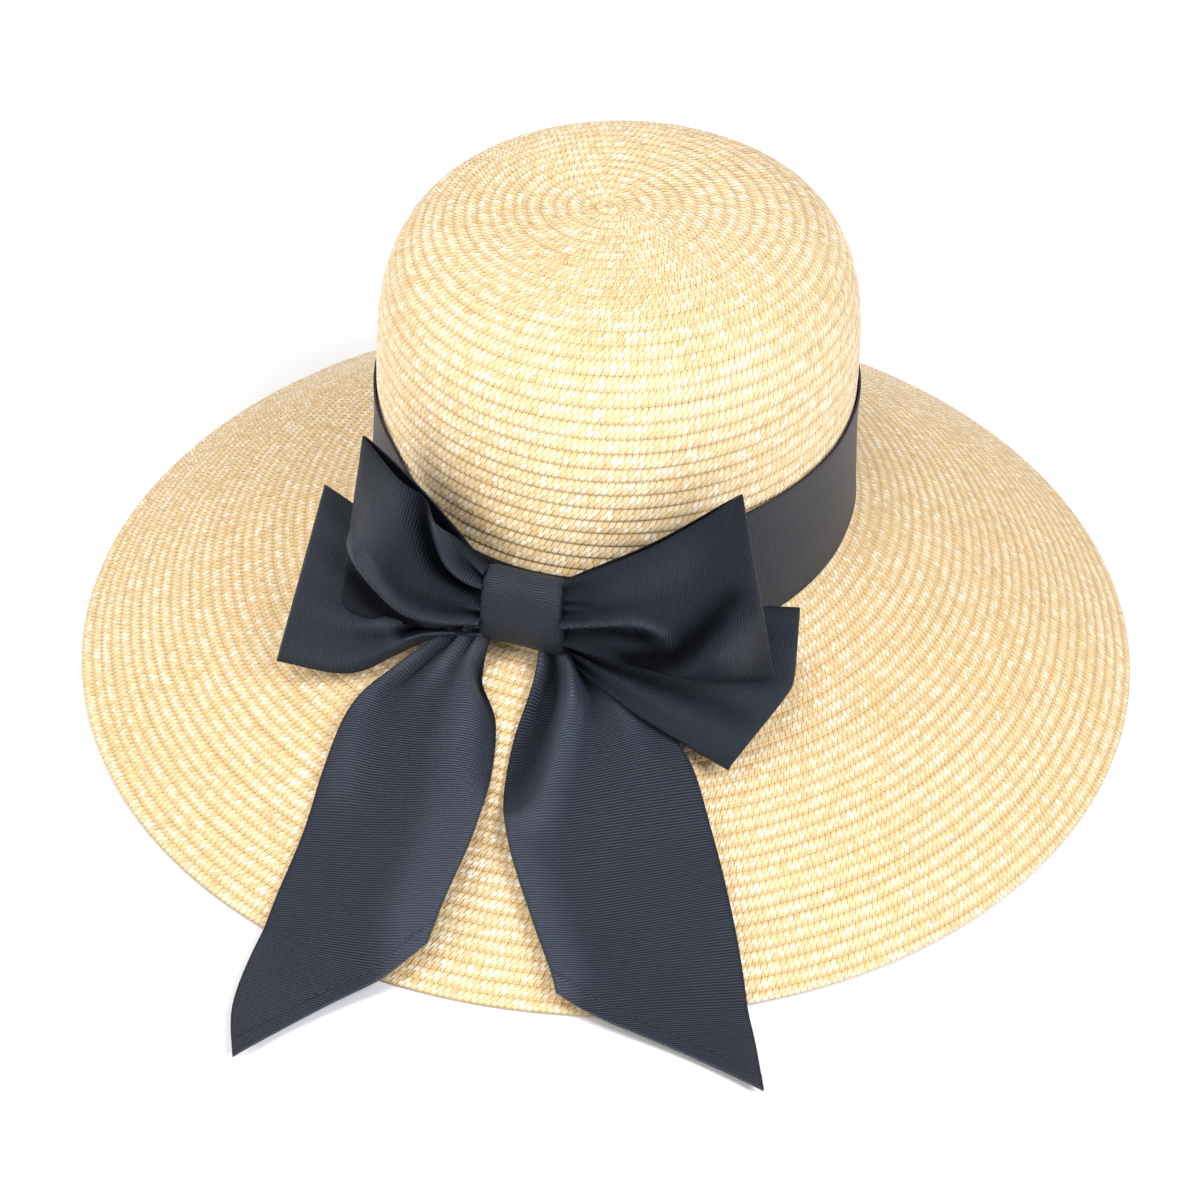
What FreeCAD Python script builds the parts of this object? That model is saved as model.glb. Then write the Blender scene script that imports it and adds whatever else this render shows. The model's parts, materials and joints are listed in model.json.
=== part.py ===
"""Wide-brimmed straw sun hat with a ribbon band and a double bow, in millimetres.

+Z is up, the front of the hat faces -Y, and the origin is the middle of the head opening,
at the head line, where the crown meets the brim. Every horizontal section of the straw is
an ellipse whose long axis runs front to back, as a head does.
"""
import FreeCAD, Part
import math
import os

os.makedirs("parts", exist_ok=True)

V = FreeCAD.Vector

# ---- driving dimensions ----------------------------------------------------------------
# Straw crown
head_half_width = 85.0        # outside of the crown at the head line, side to side
head_half_depth = 102.0       # the same, front to back
crown_height = 108.0          # head line to the top of the crown
wall_half_width = 82.7        # where the rounding of the crown begins
wall_straight = 34.5          # height of the nearly upright foot of the wall
crown_side_power = 5.107      # superellipse powers of the rounded upper crown
crown_top_power = 3.87
tip_height = 101.0            # the tip begins at this height above the head line
straw = 2.0                   # two overlapping thicknesses of braid

# Straw brim
brim_reach_side = 106.5       # plan width of the brim at the sides
brim_reach_front = 103.0      # plan width of the brim at the front and back
brim_drop = 58.4              # fall of the top surface from the head line to the edge
edge_height = 2.0             # the top surface above the table at the very edge
brim_droop = 0.2              # share of the fall that comes as a curve towards the edge
edge_row_start = 0.93         # the last, doubled row begins at this share of the reach
edge_row_depth = 3.4          # vertical thickness of the doubled row
table = -(brim_drop + edge_height)

# Ribbons
band_width = 45.0
band_thickness = 0.7
band_gap = 0.25
sweatband_width = 25.0
sweatband_thickness = 0.7
ribbon_width = 56.0           # the ribbon of the bow and its tails
ribbon_thickness = 1.0
tail_lift_gap = 0.5           # air between the tail and the straw under it
tail_station = 4.5            # spacing of the sections that bend a tail over the brim

# Bow
knot_x = -15.0
knot_width = 26.0
knot_height = 30.0
knot_depth = 12.5
knot_round = 4.0
knot_z = 8.6                  # underside of the knot
loop_gap = 1.0                # from the knot's side to the pinched end of a loop
knot_stand_off = 1.4          # knot's back from the crown's outer surface

# Hem
hem_width = 4.5
stitch_pitch = 3.6
stitch_length = 2.4
thread_radius = 0.2
stitch_rise = 0.9             # middle of a hem stitch above the ribbon's face
hinge_gap = 1.2               # bare length of ribbon each side of the line the tail bends at


# ---- the straw's own surfaces ----------------------------------------------------------
def half_depth_of(half_width):
    """Half depth of the crown's section that has this half width: round at the tip."""
    oval = head_half_depth / head_half_width - 1.0
    return half_width * (1.0 + oval * min(1.0, half_width / head_half_width))


def ellipse_wire(half_x, half_y, z):
    curve = Part.Ellipse(V(0, half_y, z), V(half_x, 0, z), V(0, 0, z))
    return Part.Wire([curve.toShape()])


def ellipse_cylinder(half_x, half_y, z_low, z_high):
    face = Part.Face(ellipse_wire(half_x, half_y, z_low))
    return face.extrude(V(0, 0, z_high - z_low))


def crown_profile():
    """(half width, height) from the head line to the crown's top."""
    taper = head_half_width - wall_half_width
    points = [(head_half_width - taper * share, wall_straight * share)
              for share in (0.0, 0.25, 0.5, 0.75)]
    rise = crown_height - wall_straight
    for degrees in (0, 1, 4, 10, 20, 30, 40, 50, 58, 65, 71, 76, 80, 84, 87, 89, 89.8):
        angle = math.radians(degrees)
        half_width = wall_half_width * math.cos(angle) ** (2.0 / crown_side_power)
        height = wall_straight + rise * math.sin(angle) ** (2.0 / crown_top_power)
        points.append((half_width, height))
    return points


def crown_half_width(height):
    """Half width of the crown's outside at a height."""
    points = crown_profile()
    for (low_w, low_h), (high_w, high_h) in zip(points, points[1:]):
        if low_h <= height <= high_h:
            share = (height - low_h) / (high_h - low_h)
            return low_w + share * (high_w - low_w)
    return points[-1][0]


def crown_solid(inset):
    """The crown as a full solid, moved in by inset square to its surface."""
    points = crown_profile()
    wires = []
    for index, (half_width, height) in enumerate(points):
        before = points[max(index - 1, 0)]
        after = points[min(index + 1, len(points) - 1)]
        run = after[0] - before[0]
        climb = after[1] - before[1]
        length = math.hypot(run, climb)
        side_in = inset * climb / length
        down = -inset * run / length
        wires.append(ellipse_wire(half_width - side_in, half_depth_of(half_width) - side_in,
                                  height - down))
    return Part.makeLoft(wires, True, False)


def brim_ellipse(share):
    return (head_half_width + brim_reach_side * share,
            head_half_depth + brim_reach_front * share)


def brim_height(share):
    """Height of the brim's top surface at a share of its reach."""
    return -brim_drop * ((1.0 - brim_droop) * share + brim_droop * share * share)


def brim_share(x, y):
    """The share of the reach at a point in plan, found by halving."""
    low, high = 0.0, 2.0
    for _ in range(40):
        share = (low + high) / 2
        half_x, half_y = brim_ellipse(share)
        if (x / half_x) ** 2 + (y / half_y) ** 2 > 1.0:
            low = share
        else:
            high = share
    return low


def support_height(x, y):
    """What a ribbon lies on at a point in plan: the brim, or the table beyond its edge."""
    return max(brim_height(brim_share(x, y)), table)


def brim_solid():
    """Everything under the brim's top surface."""
    shares = [0.0, 0.2, 0.4, 0.6, 0.8, 1.0, 1.1]
    return Part.makeLoft([ellipse_wire(*brim_ellipse(s), brim_height(s)) for s in shares], True, False)


# ---- straw pieces ----------------------------------------------------------------------
def crown_pieces():
    shell = crown_solid(0.0).cut(crown_solid(straw))
    under = ellipse_cylinder(head_half_width + 5, head_half_depth + 5, 0.0, tip_height)
    wall = shell.common(under)
    tip = shell.cut(under)
    opening = ellipse_cylinder(head_half_width - straw, head_half_depth - straw, -5, 5)
    return tip, wall.cut(opening)


def brim_pieces():
    full = brim_solid()
    vertical_straw = straw * 1.15
    shell = full.cut(full.translated(V(0, 0, -vertical_straw)))
    thick = full.cut(full.translated(V(0, 0, -edge_row_depth)))
    opening = ellipse_cylinder(head_half_width - straw, head_half_depth - straw, table - 10, 10)
    inside = ellipse_cylinder(*brim_ellipse(edge_row_start), table - 10, 10)
    outside = ellipse_cylinder(*brim_ellipse(1.0), table, 10)
    brim = shell.common(inside).cut(opening)
    edge = thick.common(outside).cut(inside)
    return brim, edge


# ---- bands ------------------------------------------------------------------------------
def wall_ring(z_low, z_high, inset, thickness):
    """A ring between two insets of the crown's outer surface; a negative inset is outside it."""
    ring = crown_solid(inset).cut(crown_solid(inset + thickness))
    level = ellipse_cylinder(head_half_width + 9, head_half_depth + 9, z_low, z_high)
    return ring.common(level)


def hat_band():
    foot = 0.5
    return wall_ring(foot, foot + band_width, -band_gap - band_thickness, band_thickness)


def sweatband():
    foot = 1.0
    return wall_ring(foot, foot + sweatband_width, straw + band_gap, sweatband_thickness)


def rod(start, end, radius):
    along = end - start
    return Part.makeCylinder(radius, along.Length, start, along)


def sweatband_stitches():
    """Running stitch along the sweatband's lower edge, on its inner face."""
    z = 3.0
    inward = straw + band_gap + sweatband_thickness + 2 * thread_radius
    half_width = crown_half_width(z)
    half_x = half_width - inward
    half_y = half_depth_of(half_width) - inward
    count = 72
    stitches = []
    for index in range(count):
        start = 2 * math.pi * index / count
        end = start + 2 * math.pi / count * 0.6
        stitches.append(rod(V(half_x * math.sin(start), half_y * math.cos(start), z),
                            V(half_x * math.sin(end), half_y * math.cos(end), z), thread_radius))
    return Part.makeCompound(stitches)


# ---- bow --------------------------------------------------------------------------------
def knot_frame():
    """The middle of the knot's back on the crown, with its right and outward directions."""
    half_width = crown_half_width(knot_z)
    half_depth = half_depth_of(half_width)
    angle = math.asin(knot_x / half_width)
    right = V(half_width * math.cos(angle), half_depth * math.sin(angle), 0).normalize()
    outward = V(right.y, -right.x, 0)
    foot = V(knot_x, -half_depth * math.cos(angle), knot_z)
    return foot, right, outward


def bow_knot():
    foot, right, outward = knot_frame()
    block = Part.makeBox(knot_width, knot_depth, knot_height,
                         V(-knot_width / 2, -knot_depth, 0))
    block = block.makeFillet(knot_round, block.Edges)
    turn = FreeCAD.Rotation(V(1, 0, 0), right)
    block.Placement = FreeCAD.Placement(foot + outward * knot_stand_off, turn)
    return block


def bow_tacks():
    """Four thread bars that sew the knot's back to the hat band."""
    foot, right, outward = knot_frame()
    from_wall = band_gap + band_thickness
    tacks = []
    for side in (-5.0, 5.0):
        for height in (8.0, 22.0):
            base = foot + right * side + V(0, 0, height)
            tacks.append(rod(base + outward * (from_wall + 0.05), base + outward * (knot_stand_off - 0.02),
                             thread_radius * 2))
    return Part.makeCompound(tacks)


def loop_section(low, high, along, thickness):
    """A flat oval from low to high, square to the loop's own direction."""
    middle = (low + high) * 0.5
    rise = high - low
    side = rise.cross(along).normalize()
    curve = Part.Ellipse(middle + rise * 0.5, middle + side * (thickness / 2), middle)
    return Part.Wire([curve.toShape()])


def bow_loop(sections):
    """A closed bag through sections of (low point, high point, thickness)."""
    wires = []
    for index, (low, high, thickness) in enumerate(sections):
        before = sections[max(index - 1, 0)]
        after = sections[min(index + 1, len(sections) - 1)]
        along = (after[0] + after[1]) - (before[0] + before[1])
        wires.append(loop_section(low, high, along, thickness))
    return Part.makeLoft(wires, True, False)


def root_section(side, low, high, outward_by, thickness):
    """The pinched end of a loop, against the knot's left (-1) or right (+1) side."""
    foot, right, outward = knot_frame()
    point = foot + right * (side * (knot_width / 2 + loop_gap)) + outward * outward_by
    return V(point.x, point.y, low), V(point.x, point.y - 1.5, high), thickness


# Each loop is given from its root at the knot to the fold at its end.
upper_loop_left = [
    root_section(-1, 16.6, 34.6, 8.5, 7.0),
    (V(-52.0, -105.5, 7.1), V(-49.5, -97.0, 50.6), 14.0),
    (V(-76.5, -99.5, 5.6), V(-71.5, -82.0, 60.6), 9.0),
]
upper_loop_right = [
    root_section(1, 16.6, 34.6, 8.5, 7.0),
    (V(33.0, -115.0, 9.1), V(26.0, -106.0, 49.6), 14.0),
    (V(65.5, -110.0, 6.6), V(51.5, -98.0, 63.6), 9.0),
]
lower_loop_left = [
    root_section(-1, 4.6, 15.1, 4.5, 3.0),
    (V(-56.0, -98.5, -4.4), V(-52.5, -87.0, 24.6), 5.0),
    (V(-95.0, -104.0, -9.9), V(-87.0, -72.0, 31.6), 9.0),
]
lower_loop_right = [
    root_section(1, 4.6, 15.1, 4.5, 3.0),
    (V(28.0, -118.5, -2.9), V(34.0, -99.5, 12.1), 5.0),
    (V(60.0, -131.0, -9.4), V(75.0, -84.0, 11.6), 9.0),
]


# ---- tails ------------------------------------------------------------------------------
class Tail:
    """A ribbon tail that runs straight out over the brim in plan and lies on it in height."""

    def __init__(self, start, end, hinge_at, cut, throat):
        self.start = V(*start, 0)
        run = V(*end, 0) - self.start
        self.length = run.Length
        self.out = run.normalize()
        self.right = V(-self.out.y, self.out.x, 0)
        self.hinge_at = hinge_at
        self.cut = cut            # how far the left and right corners reach past the middle
        self.throat = throat      # where the gathered top begins and ends, across the tail

    def plan(self, along, across):
        return self.start + self.out * along + self.right * across

    def support(self, along, across):
        point = self.plan(along, across)
        return support_height(point.x, point.y)

    def underside(self, along, across):
        """Height of the flat section that clears the straw across the whole ribbon."""
        half = ribbon_width / 2
        lean = (self.support(along, half) - self.support(along, -half)) / ribbon_width
        offsets = [half * step / 4 for step in range(-4, 5)]
        middle = max(self.support(along, offset) - lean * offset for offset in offsets)
        return middle + lean * across + tail_lift_gap

    def surface(self, along, across, above=0.0):
        point = self.plan(along, across)
        return V(point.x, point.y, self.underside(along, across) + above)

    def section(self, along):
        half = ribbon_width / 2
        low_left = self.surface(along, -half)
        low_right = self.surface(along, half)
        rise = V(0, 0, ribbon_thickness)
        return Part.makePolygon([low_left, low_right, low_right + rise, low_left + rise, low_left])

    def slab(self, first, last):
        """The ribbon from first to last along the tail, bent over what it lies on."""
        count = max(2, round((last - first) / tail_station) + 1)
        stations = [first + (last - first) * step / (count - 1) for step in range(count)]
        return Part.makeLoft([self.section(along) for along in stations], True, True)

    def plan_prism(self, corners):
        points = [self.plan(along, across) + V(0, 0, table - 10) for along, across in corners]
        return Part.Face(Part.makePolygon(points + points[:1])).extrude(V(0, 0, 200))

    def root(self):
        """The gathered top of the tail, fixed under the knot."""
        half = ribbon_width / 2
        last = self.hinge_at - hinge_gap
        outline = [(0.0, self.throat[0]), (0.0, self.throat[1]), (last * 0.75, half - 2), (last, half - 1),
                   (last, -half + 1), (last * 0.75, -half + 2)]
        return self.slab(0.0, last).common(self.plan_prism(outline))

    def flap(self):
        """The free part of the tail, with its slanted end."""
        half = ribbon_width / 2
        first = self.hinge_at + hinge_gap
        left, right = self.cut
        outline = [(first, -half + 1), (first, half - 1), (first + 12, half), (self.length + right, half),
                   (self.length + left, -half), (first + 12, -half)]
        return self.slab(first, self.length + max(left, right)).common(self.plan_prism(outline))

    def hem_stitches(self):
        """Running stitch that holds the turned hem, parallel to the slanted end."""
        left, right = self.cut
        half = ribbon_width / 2
        slant = math.hypot(right - left, ribbon_width)
        inset = hem_width * slant / ribbon_width
        count = int((slant - 6.0) / stitch_pitch)
        stitches = []
        for index in range(count):
            ends = []
            for part in (0.0, stitch_length / slant):
                share = (3.0 + index * stitch_pitch) / slant + part
                across = -half + ribbon_width * share
                along = self.length + left + (right - left) * share - inset
                ends.append(self.surface(along, across, ribbon_thickness + stitch_rise))
            stitches.append(rod(ends[0], ends[1], thread_radius))
        return Part.makeCompound(stitches)

    def hinge(self):
        """The middle of the line the tail bends at, and the direction of that line."""
        half = ribbon_width / 2
        line = self.surface(self.hinge_at, -half) - self.surface(self.hinge_at, half)
        return self.surface(self.hinge_at, 0.0, ribbon_thickness / 2), line.normalize()


tail_left = Tail(start=(-41.0, -108.5), end=(-57.0, -218.5), hinge_at=22.0, cut=(28.0, -28.0),
                 throat=(3.0, 23.0))
tail_right = Tail(start=(5.0, -113.0), end=(46.0, -216.0), hinge_at=32.0, cut=(-28.0, 28.0),
                  throat=(-17.0, 3.0))


# ---- export -----------------------------------------------------------------------------
def build():
    tip, wall = crown_pieces()
    brim, edge = brim_pieces()
    return {
        "crown_tip": tip,
        "crown_wall": wall,
        "brim": brim,
        "brim_edge": edge,
        "sweatband": sweatband(),
        "sweatband_stitches": sweatband_stitches(),
        "hat_band": hat_band(),
        "bow_knot": bow_knot(),
        "bow_tacks": bow_tacks(),
        "upper_loop_left": bow_loop(upper_loop_left),
        "upper_loop_right": bow_loop(upper_loop_right),
        "lower_loop_left": bow_loop(lower_loop_left),
        "lower_loop_right": bow_loop(lower_loop_right),
        "tail_root_left": tail_left.root(),
        "tail_root_right": tail_right.root(),
        "tail_left": tail_left.flap(),
        "tail_right": tail_right.flap(),
        "hem_stitches_left": tail_left.hem_stitches(),
        "hem_stitches_right": tail_right.hem_stitches(),
    }


def main():
    for name, shape in build().items():
        shape.exportStep("parts/" + name + ".step")
        print(name, "solids", len(shape.Solids), "volume", round(shape.Volume, 1), "valid", shape.isValid())
    for side, tail in (("left", tail_left), ("right", tail_right)):
        print("hinge", side, *tail.hinge())


main()
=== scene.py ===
import json
import math

import bpy
import numpy as np
from mathutils import Matrix, Vector

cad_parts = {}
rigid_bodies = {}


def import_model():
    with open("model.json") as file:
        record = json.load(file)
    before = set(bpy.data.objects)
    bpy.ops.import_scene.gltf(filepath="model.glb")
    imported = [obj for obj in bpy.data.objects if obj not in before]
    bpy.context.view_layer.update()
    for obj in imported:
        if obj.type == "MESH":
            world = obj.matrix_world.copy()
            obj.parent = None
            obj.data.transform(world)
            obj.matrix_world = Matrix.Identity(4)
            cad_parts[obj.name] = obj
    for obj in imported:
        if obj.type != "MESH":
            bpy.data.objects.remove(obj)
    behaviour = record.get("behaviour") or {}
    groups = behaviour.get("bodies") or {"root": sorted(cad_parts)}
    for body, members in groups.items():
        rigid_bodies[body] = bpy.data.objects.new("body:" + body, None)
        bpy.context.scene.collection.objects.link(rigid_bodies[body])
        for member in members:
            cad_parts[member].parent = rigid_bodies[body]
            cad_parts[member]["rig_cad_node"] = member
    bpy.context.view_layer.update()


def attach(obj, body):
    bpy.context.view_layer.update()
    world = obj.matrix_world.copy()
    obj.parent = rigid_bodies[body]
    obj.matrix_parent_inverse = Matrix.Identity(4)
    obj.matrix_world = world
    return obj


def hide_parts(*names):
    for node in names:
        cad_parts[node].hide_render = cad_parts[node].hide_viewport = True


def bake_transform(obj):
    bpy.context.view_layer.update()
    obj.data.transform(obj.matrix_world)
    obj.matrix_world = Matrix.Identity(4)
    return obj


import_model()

MM = 0.001
TAU = 2 * math.pi

# ---- the hat's sizes, in millimetres, as in the CAD source ----
HEAD_HALF_WIDTH = 85.0
HEAD_OVAL = 0.2  # how much deeper than wide the crown is at the head line
CROWN_HEIGHT = 108.0
WALL_HALF_WIDTH = 82.7
WALL_STRAIGHT = 34.5
CROWN_SIDE_POWER = 5.107
CROWN_TOP_POWER = 3.87
BRIM_SIDE = 106.5
BRIM_FRONT = 103.0
BRIM_DROP = 58.4
BRIM_DROOP = 0.2
TABLE = -60.4

# ---- the straw braid ----
STRAW_PITCH = 2.15  # spacing of the slanted straws along the braid
STRAW_SLANT = 0.5  # how far a straw leans along the braid, per width across it
CROWN_ROW = 4.8  # visible width of a row on the crown
BRIM_ROW = 4.25  # rows overlap more on the brim
BRAID_THICKNESS = 0.95
ROW_STEP = 0.34  # how far a row's free edge stands above the next row
TUCK = 1.5  # width of each row that is hidden under the row before it
COIL_SHIFT = (-5.9, 0.5)  # the coil at the tip isn't quite in the middle
STRAW_ROUND = 0.30  # roundness across one straw
ROW_ROUND = 0.32  # roundness across the whole braid
TIP_HEIGHT = 101.0  # the flat tip ends, and the crown's wall begins
WALL_SPLIT = 50.0  # height at which the wall's braid is cut into two pieces
BRIM_SPLIT = 62.0  # distance from the head line at which the brim's is
EDGE_WIDTH = 8.2  # width of the last rows, along the slope of the brim


# ---- meshes ----
def new_mesh(name, points, faces, attributes=None):
    """A mesh object from millimetre points and an (n, 4) array of corners."""
    points = np.asarray(points, float).reshape(-1, 3) * MM
    faces = np.asarray(faces, np.int32)
    mesh = bpy.data.meshes.new(name)
    mesh.vertices.add(len(points))
    mesh.vertices.foreach_set("co", points.astype(np.float32).ravel())
    mesh.loops.add(faces.size)
    mesh.loops.foreach_set("vertex_index", faces.ravel())
    mesh.polygons.add(len(faces))
    mesh.polygons.foreach_set("loop_start", np.arange(0, faces.size, 4, dtype=np.int32))
    for key, values in (attributes or {}).items():
        layer = mesh.attributes.new(key, "FLOAT_VECTOR", "POINT")
        layer.data.foreach_set("vector", np.asarray(values, np.float32).ravel())
    mesh.update(calc_edges=True)
    mesh.validate()
    mesh.shade_smooth()
    piece = bpy.data.objects.new(name, mesh)
    bpy.context.scene.collection.objects.link(piece)
    return piece


def grid_faces(rows, columns, wrap_rows=False, wrap_columns=False, flip=False):
    """Corners of the quads between the points of a rows by columns grid."""
    row = np.arange(rows if wrap_rows else rows - 1)
    column = np.arange(columns if wrap_columns else columns - 1)
    i, j = np.meshgrid(row, column, indexing="ij")
    i_next = (i + 1) % rows
    j_next = (j + 1) % columns
    quads = np.stack([i * columns + j, i_next * columns + j,
                      i_next * columns + j_next, i * columns + j_next], -1).reshape(-1, 4)
    return quads[:, ::-1] if flip else quads


def grid_normals(points, wrap_rows=False):
    """Unit normals of a grid of points, by central differences."""
    if wrap_rows:
        along = np.roll(points, -1, 0) - np.roll(points, 1, 0)
    else:
        along = np.gradient(points, axis=0)
    across = np.gradient(points, axis=1)
    normal = np.cross(along, across)
    return normal / np.maximum(np.linalg.norm(normal, axis=-1, keepdims=True), 1e-9)


def ribbon_shell(name, points, cloth, thickness, wrap_rows=False, fold=None):
    """A closed thin shell round a grid of points: thickness may be a number or a grid.

    cloth holds each point's place on the flat ribbon, in millimetres: along, across, and the
    distance from the nearer selvedge. fold is how far a crease lifts or sinks each point; it is
    kept as the crease attribute, from which the ribbon material paints shade in the hollows and
    highlights on the ridges.
    """
    rows, columns = points.shape[:2]
    normal = grid_normals(points, wrap_rows)
    half = np.broadcast_to(np.asarray(thickness, float), (rows, columns))[..., None] / 2
    outer = points + normal * half
    inner = points - normal * half
    count = rows * columns
    faces = [grid_faces(rows, columns, wrap_rows, flip=True),
             grid_faces(rows, columns, wrap_rows) + count]
    index = np.arange(count).reshape(rows, columns)
    rims = [(index[:, 0], False), (index[:, -1], True)]
    if not wrap_rows:
        rims += [(index[0], True), (index[-1], False)]
    for rim, turned in rims:
        a, b = (rim, np.roll(rim, -1)) if wrap_rows else (rim[:-1], rim[1:])
        quad = np.stack([a, b, b + count, a + count], -1)
        faces.append(quad[:, ::-1] if turned else quad)
    both = np.concatenate([outer.reshape(-1, 3), inner.reshape(-1, 3)])
    cloth = np.concatenate([cloth.reshape(-1, 3)] * 2)
    creased = np.zeros((count * 2, 3))
    if fold is not None:
        creased[:, 0] = np.concatenate([fold.ravel()] * 2)
    piece = new_mesh(name, both, np.concatenate(faces), {"cloth": cloth, "crease": creased})
    # The ribbon's cut edges stay crisp under smooth shading.
    piece.data.set_sharp_from_angle(angle=math.radians(50.0))
    return piece


def catmull(points, shares):
    """A smooth line through points, read at shares from 0 to 1 of its length in points."""
    points = np.asarray(points, float)
    padded = np.concatenate([[2 * points[0] - points[1]], points, [2 * points[-1] - points[-2]]])
    place = np.clip(np.asarray(shares, float), 0, 1) * (len(points) - 1)
    first = np.minimum(place.astype(int), len(points) - 2)
    t = (place - first)[..., None]
    a, b, c, d = (padded[first + k] for k in range(4))
    return 0.5 * (2 * b + (c - a) * t + (2 * a - 5 * b + 4 * c - d) * t ** 2
                  + (3 * b - a - 3 * c + d) * t ** 3)


def travel(line):
    """How far along a line of points each of them lies."""
    return np.concatenate([[0], np.cumsum(np.linalg.norm(np.diff(line, axis=0), axis=1))])


def between(first, second, w):
    """Points across a ribbon, at the shares w of the way from one edge to the other."""
    return first * (1 - w)[None, :, None] + second * w[None, :, None]


def eased(values, ease_width, **padding):
    """The values smoothed over an odd number of neighbours."""
    ease = np.hanning(ease_width)
    ease /= ease.sum()
    return np.convolve(np.pad(values, ease_width // 2, **padding), ease, "valid")


def smoothstep(low, high, value):
    t = np.clip((np.asarray(value, float) - low) / (high - low), 0, 1)
    return t * t * (3 - 2 * t)


def wobble(rng, place, wavelengths, amplitude):
    """A smooth random line: a sum of sines of the given wavelengths."""
    total = np.zeros_like(np.asarray(place, float))
    for length in wavelengths:
        total += np.sin(TAU * place / length + rng.uniform(0, TAU)) * rng.uniform(0.5, 1.0)
    return amplitude * total / len(wavelengths)


# ---- the straw's surface ----
def hat_profile():
    """Half width and height of the straw's outer surface, from the tip to the brim's edge."""
    angle = np.radians(np.linspace(90, 0, 700))
    rise = CROWN_HEIGHT - WALL_STRAIGHT
    crown_width = WALL_HALF_WIDTH * np.cos(angle) ** (2 / CROWN_SIDE_POWER)
    crown_z = WALL_STRAIGHT + rise * np.sin(angle) ** (2 / CROWN_TOP_POWER)
    crown_width[0] = 0.0
    down = np.linspace(0, 1, 60)[1:]
    wall_width = WALL_HALF_WIDTH + (HEAD_HALF_WIDTH - WALL_HALF_WIDTH) * down
    wall_z = WALL_STRAIGHT * (1 - down)
    share = np.linspace(0, 1, 200)[1:]
    brim_z = -BRIM_DROP * ((1 - BRIM_DROOP) * share + BRIM_DROOP * share ** 2)
    half_width = np.concatenate([crown_width, wall_width, HEAD_HALF_WIDTH + BRIM_SIDE * share])
    crown_depth = np.concatenate([crown_width, wall_width])
    crown_depth = crown_depth * (1 + HEAD_OVAL * np.minimum(1, crown_depth / HEAD_HALF_WIDTH))
    half_depth = np.concatenate([crown_depth, crown_depth[-1] + BRIM_FRONT * share])
    height = np.concatenate([crown_z, wall_z, brim_z])
    return half_width, half_depth, height


def even_profile():
    """The profile at every half millimetre of its length, with the foot of the wall eased."""
    half_width, half_depth, height = hat_profile()
    mean = (half_width + half_depth) / 2
    length = np.concatenate([[0], np.cumsum(np.hypot(np.diff(mean), np.diff(height)))])
    place = np.arange(0, length[-1], 0.5)
    table = [np.interp(place, length, values) for values in (half_width, half_depth, height)]
    rows = [eased(values, 13, mode="reflect", reflect_type="odd") for values in table]
    return place, np.array(rows), length[-1]


PLACE, PROFILE, RIM_PLACE = even_profile()


def place_of_height(height):
    """How far along the profile the crown's outer surface reaches a height."""
    return float(np.interp(-height, -PROFILE[2], PLACE))


HEAD_PLACE = place_of_height(0.0)


def straw_point(place, theta, lift, shift=(0.0, 0.0)):
    """A point lift above the straw's surface, at a place along the profile and an angle.

    theta 0 is the front, -Y, and a quarter turn is +X.
    """
    place = np.asarray(place, float)
    east = shift[0] + place * np.sin(theta)
    south = -shift[1] + place * np.cos(theta)
    place = np.hypot(east, south)
    theta = np.arctan2(east, south)
    half_width, half_depth, height = (np.interp(place, PLACE, row) for row in PROFILE)
    beyond = np.maximum(place - PLACE[-1], 0)
    ahead = [np.interp(place + 1, PLACE, row) - np.interp(place - 1, PLACE, row) for row in PROFILE]
    run = np.where(place > PLACE[-1] - 1, 0.87, (ahead[0] + ahead[1]) / 4)
    climb = np.where(place > PLACE[-1] - 1, -0.49, ahead[2] / 2)
    size = np.maximum(np.hypot(run, climb), 1e-6)
    out, up = -climb / size, run / size
    sine, cosine = np.sin(theta), np.cos(theta)
    face_x, face_y = half_depth * sine, half_width * cosine
    face = np.maximum(np.hypot(face_x, face_y), 1e-6)
    half_width = half_width + beyond * up
    half_depth = half_depth + beyond * up
    x = half_width * sine + lift * out * face_x / face
    y = -half_depth * cosine - lift * out * face_y / face
    z = height - beyond * out + lift * up
    return np.stack([x, y, z], -1)


def plait_relief(along, across, width):
    """Height of the slanted straws, staggered between the two halves of the braid's width.

    They dip where they turn under at the braid's edges.
    """
    place = (along + STRAW_SLANT * across) / STRAW_PITCH + 0.5 * (across > 0)
    side = place - np.floor(place) - 0.5
    inward = 2 * across / width
    return -4 * STRAW_ROUND * side ** 2 - ROW_ROUND * inward ** 4


def braid_spiral():
    """The braid's own length, its angle, the place of its row's inner edge, and row width."""
    steps_per_turn = 240
    inner, places, widths = -CROWN_ROW, [], []
    while inner < RIM_PLACE - 0.6:
        blend = float(smoothstep(HEAD_PLACE - 12, HEAD_PLACE + 12, inner))
        width = CROWN_ROW + (BRIM_ROW - CROWN_ROW) * blend
        places.append(inner)
        widths.append(width)
        inner += width / steps_per_turn
    places, widths = np.array(places), np.array(widths)
    theta = np.arange(len(places)) * TAU / steps_per_turn
    middle = np.maximum(places + widths / 2, 1.5)
    line = straw_point(np.minimum(middle, RIM_PLACE), theta, 0.0)
    return travel(line), theta, places, widths


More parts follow.
